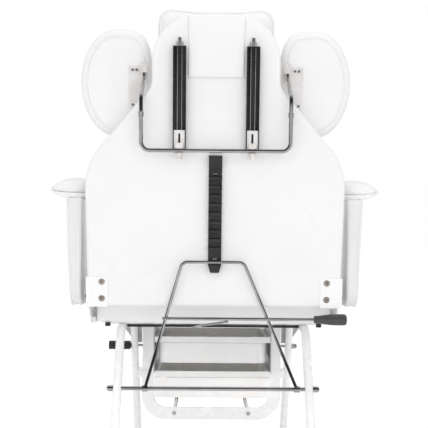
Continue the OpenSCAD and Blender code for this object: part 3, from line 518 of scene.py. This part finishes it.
# The bed's hard parts: finish, slot, the width and segments of their eased edges, and the nodes
for finish, slot, edge, segments, nodes in (
        (ENAMEL, "white_enamel", 0.0, 2, ("side_frame_left", "side_frame_right")),
        (ENAMEL, "white_enamel", 0.0006, 2, ("back_hinge_ears", "leg_hinge_ears", "leg_hinge_plates",
                                             "back_hinge_plates", "hoop_stops")),
        (GREY_STEEL, "white_enamel", 0.0006, 2, ("hoop_brackets", "tray_rail_left", "tray_rail_right",
                                                 "rest_sockets")),
        (ENAMEL, "white_enamel", 0.002, 3, ("foot_hoop",)),
        (RUBBER, "black_rubber", 0.0008, 2, ("frame_pads", "rubber_feet", "seat_studs")),
        (CHROME, "chrome_rod", 0.0, 2, ("prop_axle", "axle_nuts", "hoop_bolts", "guide_wires", "prop_bail",
                                        "prop_handle", "prop_hook", "arm_bar", "hoop_screws", "foot_rods",
                                        "armrest_pegs_left", "armrest_pegs_right", "back_hinge_bolts",
                                        "leg_hinge_bolts")),
        (BOLT, "zinc_steel", 0.0, 2, ("plate_bolts",)),
        (CHROME, "zinc_steel", 0.0, 2, ("rack_screws", "rail_bolts", "arm_plate_screws")),
        (ZINC, "zinc_steel", 0.0005, 2, ("arm_sliders", "arm_plates")),
        (BLACK, "black_plastic", 0.0009, 2, ("prop_rack",)),
        (BLACK_RAILS_AND_SHADE, "black_plastic", 0.0006, 2, ("guide_rails",)),
        (BLACK, "black_plastic", 0.0012, 2, ("clamp_knob",)),
        (BLACK, "black_plastic", 0.002, 2, ("foot_plate",)),
        # The cross bars under the seat are black as painted shade there
        (BLACK_RAILS_AND_SHADE, "black_plastic", 0.0006, 2, ("cross_bars",)),
        (TRAY, "white_plastic", 0.0012, 3, ("upper_tray", "lower_tray")),
        (PLY, "plywood", 0.001, 2, ("back_board",))):
    for node in nodes:
        finished(node, finish, edge, segments)

# A thin grey strip under each tray's lip, on the face that looks to the rear, is a painted shadow line
SHADOW_STRIP_HIGH, SHADOW_STRIP_DEEP = 0.0018, 0.0003
for word, half, y, z in (("upper", 0.15, 0.23285, 0.41), ("lower", 0.1604, 0.23085, 0.314)):
    rings = [[on_bed(x, y + deep, h) for x, h in ((-half, z), (half, z), (half, z - SHADOW_STRIP_HIGH),
                                                  (-half, z - SHADOW_STRIP_HIGH))] for deep in (0, SHADOW_STRIP_DEEP)]
    name = "tray_lip_painted_shadow_" + word
    new_piece(name, shell(name, rings), PAINTED_LIP_SHADOW, "tray_" + word)

# The prop's grip, turned: a narrow neck that swells towards a rounded end
PROP_LEAN = radians(15.0)
GRIP_SET_BACK, GRIP_RISE = 0.008, 0.189
GRIP_LINE = on_bed(0, -0.0024, 0.325) + Vector((
    0, -GRIP_SET_BACK * cos(PROP_LEAN) - GRIP_RISE * sin(PROP_LEAN),
    -GRIP_SET_BACK * sin(PROP_LEAN) + GRIP_RISE * cos(PROP_LEAN)))
GRIP_PROFILE = ((0.2442, 0.0062), (0.2442, 0.0076), (0.2452, 0.0088), (0.249, 0.0091), (0.258, 0.0097),
                (0.268, 0.0113), (0.279, 0.0128), (0.294, 0.0136), (0.31, 0.0139), (0.3185, 0.0136),
                (0.3222, 0.0122), (0.3236, 0.0096), (0.324, 0.005))
rings = [[GRIP_LINE + Vector((x, r * cos(tau * k / 40), r * sin(tau * k / 40))) for k in range(40)]
         for x, r in GRIP_PROFILE]
new_piece("handle_grip_piece", shell("handle_grip_piece", rings), GRIP, "prop",
          ("handle_grip",), 50)

# The back: board side, edges and cushion in one cover
BACK_REAR, BACK_FRONT = -0.052, 0.048
BACK_CROWN = 0.014
HEAD_TOP = 0.69
HALF = (arc(0.296, 0.002, 0.014, -90, 0, 6) + arc(0.165, 0.28, 0.15, 0, 45, 14)
        + arc(0.198, 0.54, 0.045, 225, 180, 7) + arc(0.048, 0.585, 0.105, 0, 90, 16)
        + [(0.0, HEAD_TOP)])
BACK_LINE = evened(HALF + [(-x, s) for x, s in reversed(HALF[:-1])], 0.009)
# Folds of the rear cover: from, to, width and height
FOLDS = [((-0.275, 0.066), (-0.15, 0.214), 0.016, 0.0022), ((-0.255, 0.13), (-0.185, 0.235), 0.012, 0.0014),
         ((-0.225, 0.04), (-0.12, 0.125), 0.014, 0.0014), ((0.285, 0.1), (0.2, 0.238), 0.015, 0.002),
         ((0.26, 0.18), (0.19, 0.255), 0.011, 0.0011), ((-0.085, -0.004), (-0.05, 0.05), 0.008, 0.0014),
         ((-0.045, -0.004), (-0.018, 0.046), 0.007, 0.0012), ((-0.15, 0.0), (-0.105, 0.095), 0.011, 0.0014),
         ((0.125, 0.0), (0.09, 0.085), 0.011, 0.0013), ((0.03, -0.003), (0.02, 0.05), 0.008, 0.0009),
         ((-0.16, 0.4), (-0.21, 0.33), 0.02, 0.0012), ((0.16, 0.4), (0.21, 0.33), 0.02, 0.0012)]


def fold_height(x, s):
    """Each fold is a soft ridge with a shallow valley beside it, and fades at its ends."""
    total = 0.0
    for (ax, as_), (bx, bs), width, height in FOLDS:
        dx, ds = bx - ax, bs - as_
        run = hypot(dx, ds)
        t = ((x - ax) * dx + (s - as_) * ds) / run ** 2
        off = ((x - ax) * ds - (s - as_) * dx) / run
        off += 0.35 * width * sin(5 * t)
        ends = exp(-max(0.0, abs(t - 0.5) - 0.28) ** 2 * 40)
        ridge, valley = exp(-(off / width) ** 2), exp(-((off - 1.5 * width) / width) ** 2)
        total += 1.6 * height * ends * (ridge - 0.7 * valley)
    total += 0.0007 * noise.noise(Vector((x * 9, s * 9, 0.3)))
    return total


def back_place(x, s, out):
    if out < BACK_REAR + 0.001:
        edge = min(0.3 - abs(x), s + 0.012, HEAD_TOP - s)
        out -= fold_height(x, s) * min(1.0, max(0.0, edge / 0.02))
    return on_back(x, out, s)


back_skin = padded_skin("back_cover", BACK_LINE, (0, 0.31), back_place, BACK_REAR, BACK_FRONT,
                        0.012, BACK_CROWN, 0.009, 0.0022, 44)
back_cover = new_piece("back_cover", back_skin, LEATHER, "backrest",
                       ("back_cushion", "back_panel"), SOFT_ANGLE)
creased(back_cover, 0.0016, 0.14, 4.0,
        lambda at: 1.0 if (at - on_back(0, 0, 0.3)).dot(FORWARDS) > 0.0 else 0.12)
FRONT_SEAM = BACK_FRONT - BACK_CROWN - 0.002
welt("back_front_welt", [on_back(x, FRONT_SEAM, s) for x, s in drawn_in(BACK_LINE, 0.0022)], 0.0032,
     "backrest", 10)


# Cushions of the seat and the leg section
BED_WIDE = 0.614
BED_CORNER = 0.011
BED_STEP = 0.0055


def bed_cushion(name, nodes, y0, y1, low, high, body, seed):
    """Foam and board in one cover, stapled underneath."""
    middle = (y0 + y1) / 2
    line = evened(round_box(BED_WIDE, y1 - y0 - 0.006, BED_CORNER), BED_STEP)
    skin = padded_skin(name, line, (0, 0), lambda x, y, z: on_bed(x, middle + y, z), low, high - 0.002,
                       0.013, 0.016, 0.004, 0.0025, 16)
    piece = new_piece(name, skin, LEATHER, body, nodes, SOFT_ANGLE)
    filled(piece, 0.006, 0.006)
    creased(piece, 0.0016, 0.11, seed, lambda at: 1.0 if at.z > low + 0.04 else 0.15)
    seam = round_box(BED_WIDE + 0.002, y1 - y0 - 0.004, BED_CORNER + 0.001)
    seam = drawn_in(evened(seam, BED_STEP), 0.0012)
    welt(name + "_welt", [on_bed(x, middle + y, high - 0.021) for x, y in seam], 0.0032, body)


bed_cushion("seat_pad", ("seat_cushion", "seat_board"), 0.059, 0.559, 0.4802, 0.6, "root", 1.0)
bed_cushion("leg_pad", ("leg_cushion", "leg_board"), 0.57, 1.02, 0.4862, 0.6, "leg_section", 7.0)


# Egg-shaped arm pads, with the welt set in from the edge
def egg(side, w, h):
    """An oval that is fuller at the top on the side towards the head."""
    places = []
    for k in range(96):
        c, s = cos(tau * k / 96), sin(tau * k / 96)
        power = 3.4 if side * c < 0 and s > 0 else 2.0
        r = (abs(c) ** power + abs(s) ** power) ** (-1 / power)
        places.append((w / 2 * r * c, h / 2 * r * s))
    return evened(places, 0.007)


PAD_WIDE, PAD_HIGH = 0.18, 0.267
PAD_X, PAD_S = 0.25, 0.5345
PAD_REAR = BACK_FRONT + 0.0009
PAD_PROFILE = ((0.02, 0.0004), (0.0185, 0.0014), (0.014, 0.002), (0.008, 0.0052), (0.0035, 0.011),
               (0.001, 0.0175), (0.0, 0.024), (0.0012, 0.031), (0.0045, 0.037), (0.01, 0.0415),
               (0.018, 0.0445), (0.028, 0.0465))
for side, word in ((-1, "left"), (1, "right")):
    name = "arm_pad_" + word
    line = egg(side, PAD_WIDE, PAD_HIGH)

    def pad_place(x, s, out, centre=side * PAD_X):
        return on_back(centre + x, PAD_REAR + out, PAD_S + s)

    skin = rolled_skin(name + "_cover", line, PAD_PROFILE, pad_place, 0.0025, 12, 11)
    pad = new_piece(name + "_cover", skin, LEATHER, "arm_support", (name,), SOFT_ANGLE)
    creased(pad, 0.0012, 0.07, 11.0 + side)
    welt(name + "_welt", [pad_place(x, s, 0.0008) for x, s in drawn_in(line, 0.0185)], 0.0022, "arm_support")
    welt(name + "_front_welt", [pad_place(x, s, 0.0445) for x, s in drawn_in(line, 0.017)], 0.0024,
         "arm_support")

# The pillow, dipped in the middle of its top edge
PILLOW_WIDE, PILLOW_HIGH = 0.284, 0.144
PILLOW_DIP, DIP_HALF = 0.012, 0.144
PILLOW_S = 0.648
PILLOW_REAR = BACK_FRONT + 0.0033 + 0.001
PILLOW_PROFILE = ((0.018, 0.0), (0.009, 0.003), (0.0025, 0.011), (0.0, 0.02), (0.001, 0.029), (0.007, 0.04),
                  (0.016, 0.05), (0.026, 0.057))


def pillow_place(x, s, out):
    return on_back(x, PILLOW_REAR + out, PILLOW_S + s)


pillow_line = [(x, s - PILLOW_DIP * (1 - (x / DIP_HALF) ** 2) if s > 0 else s)
               for x, s in evened(round_box(PILLOW_WIDE, PILLOW_HIGH, 0.034), 0.006)]
skin = rolled_skin("pillow_cover", pillow_line, PILLOW_PROFILE, pillow_place, 0.009, 10, 10)
pillow = new_piece("pillow_cover", skin, LEATHER, "head_pillow", ("pillow",), SOFT_ANGLE)
filled(pillow, 0.005, 0.006)
creased(pillow, 0.0022, 0.06, 21.0)
welt("pillow_welt", [pillow_place(x, s, 0.026) for x, s in drawn_in(pillow_line, -0.0015)], 0.0024,
     "head_pillow")

# The pillow's strap: up the rear of the head, over its top and down behind the pillow
STRAP_HALF = 0.0655
STRAP_HEM = 0.005
STRAP_ACROSS = 25
STITCH = {"Pitch": 0.0042, "Length": 0.003, "Width": 0.00035}
strap_path = ([(-0.0552 - 0.0006 * sin(k * 0.9), 0.545 + k * 0.0135) for k in range(10)]
              + [(-0.0545, 0.6835), (-0.052, 0.6905), (-0.046, 0.6925)]
              + [(-0.04 + k * 0.009, 0.6928) for k in range(9)]
              + [(0.0425, 0.692), (0.0478, 0.6895), (0.0497, 0.684)]
              + [(0.0497, 0.675 - k * 0.0125) for k in range(7)])
bm = bmesh.new()
grid = []
for out, s in strap_path:
    row = []
    for j in range(STRAP_ACROSS):
        x = -STRAP_HALF + 2 * STRAP_HALF * j / (STRAP_ACROSS - 1)
        sag = -0.0011 * (x / STRAP_HALF) ** 2 if s > 0.688 else 0.0
        row.append(bm.verts.new(on_back(x, out, s + sag)))
    grid.append(row)
for low, high in zip(grid, grid[1:]):
    for j in range(STRAP_ACROSS - 1):
        bm.faces.new((low[j], low[j + 1], high[j + 1], high[j]))
strap = new_piece("pillow_strap_cover", mesh_from("pillow_strap_cover", bm), LEATHER, "head_pillow",
                  ("pillow_strap",), SOFT_ANGLE)
thick = strap.modifiers.new("hide", "SOLIDIFY")
thick.thickness = 0.0024
thick.offset = 0.0
ease = strap.modifiers.new("turned_edge", "BEVEL")
ease.width = 0.0009
ease.segments = 2
ease.limit_method = "ANGLE"
HEM_X = STRAP_HALF - STRAP_HEM
for word, path in (("left", [on_back(-HEM_X, out - 0.0012, s) for out, s in strap_path[:10]]),
                   ("right", [on_back(HEM_X, out - 0.0012, s) for out, s in strap_path[:10]]),
                   ("end", [on_back(-HEM_X + k * 0.0124, -0.0564, 0.5505) for k in range(11)])):
    stitched("strap_hem_" + word, path, STITCH, "head_pillow")

# Armrests: a padded side panel under a flat pad
REST_TOP = 0.856
REST_UNDER = REST_TOP - 0.042 - 0.014
REST_TIP = REST_UNDER + 0.023
REST_MIDDLE = (0.3685, 0.16)
PANEL_LOW = 0.533
PANEL_HIGH = REST_UNDER - PANEL_LOW
REST_FRONT = on_bed(0, -0.02, 0).y
for side, word in ((-1, "left"), (1, "right")):
    body = "rest_" + word
    panel_line = evened(arc(0.04, 0.04, 0.04, 180, 270, 8) + arc(0.34, 0.04, 0.04, 270, 360, 8)
                        + [(0.38, PANEL_HIGH), (0.0, PANEL_HIGH)], 0.009)

    def panel_place(y, z, out, side=side):
        """The panel is thinner towards its foot."""
        return on_bed(side * (0.33 + out * (0.78 + 0.33 * z / PANEL_HIGH)), -0.03 + y, PANEL_LOW + z)

    skin = padded_skin("armrest_panel_" + word, panel_line, (0.19, 0.135), panel_place, 0.0003, 0.0417,
                       0.007, 0.006, 0.004, 0.0006, 12)
    panel = new_piece("armrest_panel_" + word, skin, SHADED_SIDE_LEATHER, body, ("armrest_" + word,),
                      SOFT_ANGLE)
    creased(panel, 0.001, 0.09, 31.0 + side)
    for depth, label in ((0.0315, "outer"), (0.006, "inner")):
        welt("armrest_welt_" + label + "_" + word,
             [panel_place(y, z, depth) for y, z in drawn_in(panel_line, -0.0002)], 0.0021, body)

    def rest_place(x, y, z, side=side):
        """Seen from its end the armrest thins out towards its outer edge."""
        thin = max(0.14, 1 - max(0.0, (side * x / 0.051 + 0.41) / 1.41) ** 2.6)
        return on_bed(side * REST_MIDDLE[0] + x, REST_MIDDLE[1] + y, REST_TIP + (z - REST_TIP) * thin)

    board_line = evened(round_box(0.1005, 0.354, 0.038), 0.007)
    skin = padded_skin("armrest_board_" + word, board_line, (0, 0), rest_place, REST_UNDER,
                       REST_UNDER + 0.0138, 0.003, 0.0005, 0.004, 0.0, 16)
    new_piece("armrest_board_" + word, skin, LEATHER, body, (), SOFT_ANGLE)
    rest_line = evened(round_box(0.102, 0.358, 0.038), 0.007)
    skin = padded_skin("armrest_top_" + word, rest_line, (0, 0), rest_place, REST_UNDER + 0.014, REST_TOP,
                       0.01, 0.012, 0.005, 0.0015, 16)
    top = new_piece("armrest_top_" + word, skin, LEATHER, body, ("armrest_pad_" + word,), SOFT_ANGLE)
    filled(top, 0.005, 0.003)
    creased(top, 0.0022, 0.035, 41.0 + side,
            lambda at: 0.25 + 0.75 * max(0.0, 1 - abs(at.y - REST_FRONT) / 0.05))

# Sockets of the corner plates' bolts and the rack's screws, with their shade painted dark
for side, word in ((-1, "left"), (1, "right")):
    for s, label in ((0.009, "low"), (0.05, "high")):
        recess("bolt_socket_" + label + "_" + word, side * 0.275, BACK_REAR - 0.0072, s, 0.0028)
for s, label in ((0.316, "high"), (0.11, "low")):
    recess("rack_socket_" + label, 0, BACK_REAR - 0.0086, s, 0.002)

# The floor, and the light
bm = bmesh.new()
bmesh.ops.create_grid(bm, x_segments=2, y_segments=2, size=30.0)
floor = bpy.data.objects.new("studio_floor", mesh_from("studio_floor", bm))
bpy.context.scene.collection.objects.link(floor)
paper = bpy.data.materials.new("pale_paper")
tree = blank_tree(paper)
node, link = tree.nodes.new, tree.links.new
out, mix, rays = node("ShaderNodeOutputMaterial"), node("ShaderNodeMixShader"), node("ShaderNodeLightPath")
card, glow = node("ShaderNodeBsdfDiffuse"), node("ShaderNodeEmission")
card.inputs["Color"].default_value = (0.9, 0.9, 0.9, 1)
glow.inputs["Strength"].default_value = 1.06
# The camera sees lit white paper, and the bed gets some of its light from it
soft_share, share = node("ShaderNodeMath"), node("ShaderNodeMath")
soft_share.operation = "MULTIPLY"
soft_share.inputs[1].default_value = 0.39
share.operation = "MULTIPLY_ADD"
share.inputs[1].default_value = 0.9
link(rays.outputs["Is Diffuse Ray"], soft_share.inputs[0])
link(rays.outputs["Is Camera Ray"], share.inputs[0])
link(soft_share.outputs[0], share.inputs[2])
link(share.outputs[0], mix.inputs["Fac"])
link(card.outputs[0], mix.inputs[1])
link(glow.outputs[0], mix.inputs[2])
link(mix.outputs[0], out.inputs[0])
floor.data.materials.append(paper)

world = bpy.data.worlds.new("white_studio")
bpy.context.scene.world = world
tree = blank_tree(world)
node, link = tree.nodes.new, tree.links.new
out, rays = node("ShaderNodeOutputWorld"), node("ShaderNodeLightPath")
plain, room, sky = (node("ShaderNodeBackground") for _ in range(3))
mirror_mix, diffuse_mix = node("ShaderNodeMixShader"), node("ShaderNodeMixShader")
plain.inputs["Color"].default_value = (1, 1, 1, 1)
plain.inputs["Strength"].default_value = 1.0
sky.inputs["Color"].default_value = (0.99, 0.99, 1.0, 1)
sky.inputs["Strength"].default_value = 0.79
# Polished metal sees a dark room behind the camera and white paper all round the bed
way, split, ramp = node("ShaderNodeTexCoord"), node("ShaderNodeSeparateXYZ"), node("ShaderNodeValToRGB")
stops = ramp.color_ramp.elements
stops[0].position, stops[0].color = 0.0, (0.02, 0.02, 0.022, 1)
stops[1].position, stops[1].color = 1.0, (1, 1, 1, 1)
stops.new(0.48).color = (0.12, 0.12, 0.123, 1)
stops.new(0.64).color = (0.85, 0.85, 0.86, 1)
reach = node("ShaderNodeMapRange")
reach.inputs["From Min"].default_value = -1.0
reach.inputs["From Max"].default_value = 1.0
link(way.outputs["Generated"], split.inputs[0])
link(split.outputs["Y"], reach.inputs["Value"])
link(reach.outputs[0], ramp.inputs["Fac"])
link(ramp.outputs["Color"], room.inputs["Color"])
link(rays.outputs["Is Glossy Ray"], mirror_mix.inputs["Fac"])
link(plain.outputs[0], mirror_mix.inputs[1])
link(room.outputs[0], mirror_mix.inputs[2])
link(rays.outputs["Is Diffuse Ray"], diffuse_mix.inputs["Fac"])
link(mirror_mix.outputs[0], diffuse_mix.inputs[1])
link(sky.outputs[0], diffuse_mix.inputs[2])
link(diffuse_mix.outputs[0], out.inputs[0])


def soft_box(name, at, towards, size, power, mirrored=False, beam=180):
    """A rectangular lamp, which polished metal mirrors or not, with a beam of so many degrees."""
    lamp = bpy.data.lights.new(name, "AREA")
    lamp.shape = "RECTANGLE"
    lamp.size, lamp.size_y = size
    lamp.energy = power
    lamp.spread = radians(beam)
    box = bpy.data.objects.new(name, lamp)
    box.location = at
    box.rotation_euler = (Vector(towards) - Vector(at)).to_track_quat("-Z", "Y").to_euler()
    box.visible_glossy = mirrored
    bpy.context.scene.collection.objects.link(box)


soft_box("left_soft_box", (-1.5, -3.6, 2.3), (0, -0.4, 0.7), (1.8, 2.0), 11)
soft_box("right_soft_box", (1.6, -3.5, 2.1), (0, -0.4, 0.7), (1.8, 2.0), 9)
soft_box("low_soft_box", (0.2, -3.6, 0.4), (0, -0.2, 0.35), (2.4, 0.6), 10)
# A narrow beam under the seat, for the trays and the hoop
soft_box("narrow_soft_box", (0.0, -3.6, 0.34), (0, -0.2, 0.28), (1.6, 0.1), 0.18, beam=6)
soft_box("top_soft_box", (0.0, -0.6, 3.4), (0, -0.1, 0.6), (2.6, 2.6), 12, mirrored=True)

# The camera, fitted to the photographed edges
CAMERA_AT = (-0.02307, -2.49901, 0.7111)
yaw, pitch, roll = radians(0.5933), radians(1.4305), radians(0.4861)
camera = bpy.data.cameras.new("view_from_behind")
camera.lens = 69.4
camera.sensor_width = 36.0
viewer = bpy.data.objects.new("view_from_behind", camera)
bpy.context.scene.collection.objects.link(viewer)
bpy.context.scene.camera = viewer
ahead = Vector((sin(yaw) * cos(pitch), cos(yaw) * cos(pitch), sin(pitch)))
right = Vector((cos(yaw), -sin(yaw), 0))
up = right.cross(ahead)
side = right * cos(roll) + up * sin(roll)
top = up * cos(roll) - right * sin(roll)
turned = Matrix((side, top, -ahead)).transposed().to_4x4()
viewer.matrix_world = Matrix.Translation(CAMERA_AT) @ turned
bpy.context.scene.view_settings.view_transform = "Standard"
